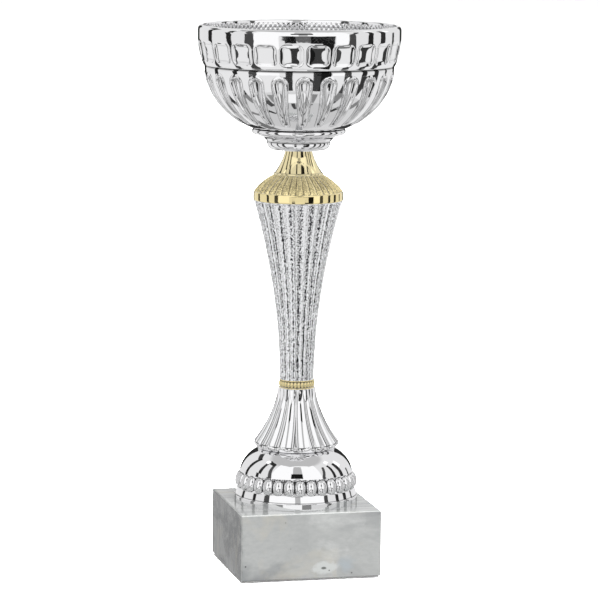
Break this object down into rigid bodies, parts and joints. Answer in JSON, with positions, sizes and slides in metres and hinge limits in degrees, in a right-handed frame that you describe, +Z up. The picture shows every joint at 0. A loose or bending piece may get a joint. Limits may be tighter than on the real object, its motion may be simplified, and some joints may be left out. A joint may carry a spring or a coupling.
{
  "type": "column trophy",
  "caption": "Column trophy: a windowed, scooped cup on a gold neck, a fluted tapering column, a bell riser and a beaded foot, clamped by a rod to a square stone block.",
  "frame": {"origin": "centre of the trophy's base, on the plane the four pads rest on", "axes": "+Z up along the tie rod; the front face of the stone block looks to -Y"},
  "size_m": [0.1064, 0.1064, 0.2875],
  "materials": {
    "felt": "matte",
    "marble": "satin",
    "zinc_steel": "satin",
    "silver_plate": "polished",
    "silver_textured": "satin",
    "gold_plate": "polished"
  },
  "bodies": {
    "root": {"base_pads": "felt", "marble_base": "marble", "base_nut": "zinc_steel", "base_washer": "zinc_steel", "tie_rod": "zinc_steel", "foot": "silver_plate", "riser": "silver_plate", "bead_ring": "gold_plate", "column": "silver_textured", "collar": "gold_plate", "neck": "gold_plate", "cup": "silver_plate", "cup_washer": "zinc_steel", "cup_nut": "zinc_steel"}
  },
  "joints": []
}
